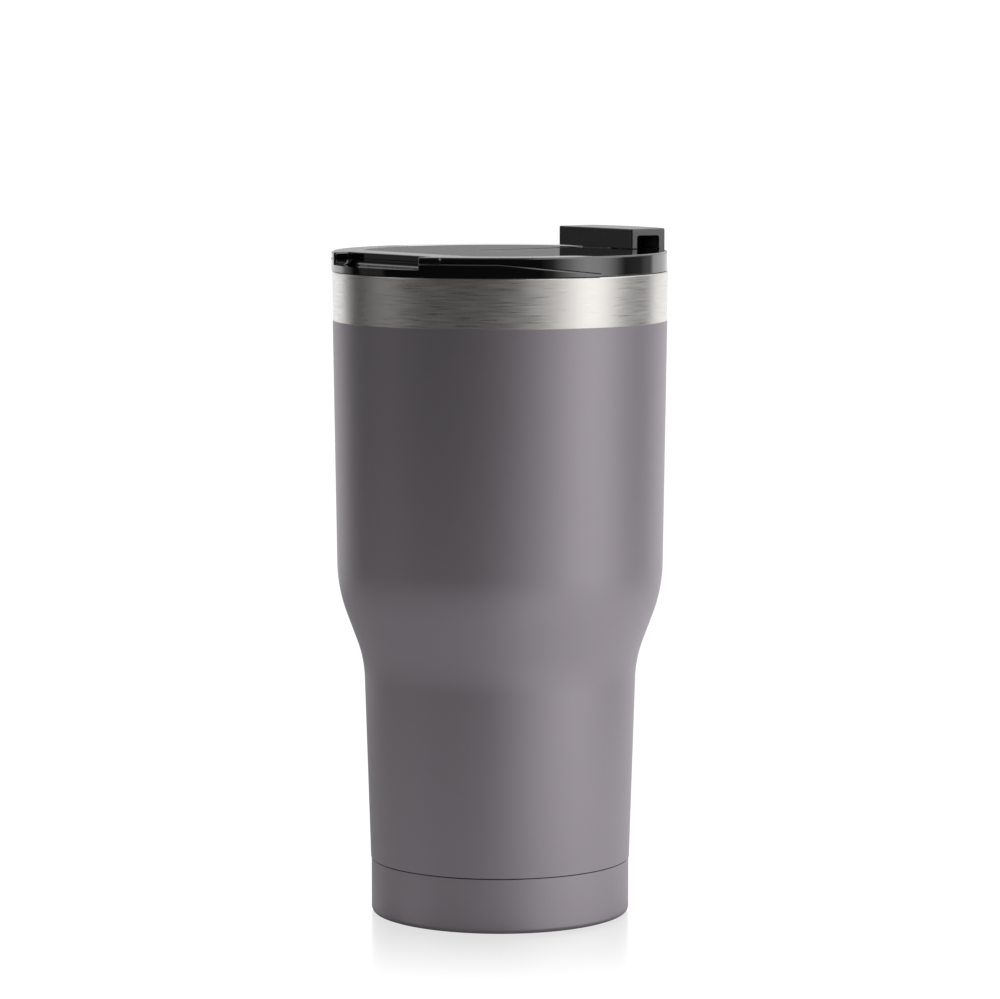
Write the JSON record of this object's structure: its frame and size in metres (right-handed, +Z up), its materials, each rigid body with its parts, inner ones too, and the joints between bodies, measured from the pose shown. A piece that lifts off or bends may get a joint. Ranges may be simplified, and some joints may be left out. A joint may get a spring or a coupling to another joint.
{
  "type": "insulated tumbler",
  "caption": "Vacuum-insulated steel tumbler with a tapered lower half, bare steel band, and a push-in lid with a flip lever that closes the sip port.",
  "frame": {"origin": "centre of the base, on the surface that the tumbler stands on", "axes": "+Z up along the tumbler's axis; +X towards the sip port; Y along the lever's hinge pin"},
  "size_m": [0.1042, 0.1022, 0.2084],
  "materials": {
    "powder_coat": "satin powder coat, mauve-grey",
    "stainless_steel": "brushed round the axis",
    "pin_steel": "ground",
    "lid_gloss_black": "glossy",
    "lever_satin_black": "satin",
    "silicone": "matte",
    "solder": "dull",
    "getter_alloy": "sintered"
  },
  "bodies": {
    "tumbler": {"outer_shell": "stainless_steel", "inner_liner": "stainless_steel", "base_cup": "stainless_steel", "vacuum_seal": "solder", "bottom_plate": "stainless_steel", "getter": "getter_alloy", "getter_clip": "stainless_steel", "body_coat": "powder_coat", "base_coat": "powder_coat"},
    "lid": {"lid_base": "lid_gloss_black", "lid_cover": "lid_gloss_black", "lid_gasket": "silicone", "hinge_pin": "pin_steel"},
    "lever": {"flip_lever": "lever_satin_black", "spout_stopper": "silicone", "vent_plug": "silicone"}
  },
  "joints": [
    {"name": "lid_lift", "type": "slide", "parent": "tumbler", "child": "lid", "axis": [0, 0, 1], "range_m": [0, 0.03]},
    {"name": "lever_flip", "type": "hinge", "parent": "lid", "child": "lever", "pos_m": [-0.002, 0, 0.2009], "axis": [0, -1, 0], "range_deg": [0, 105]}
  ]
}
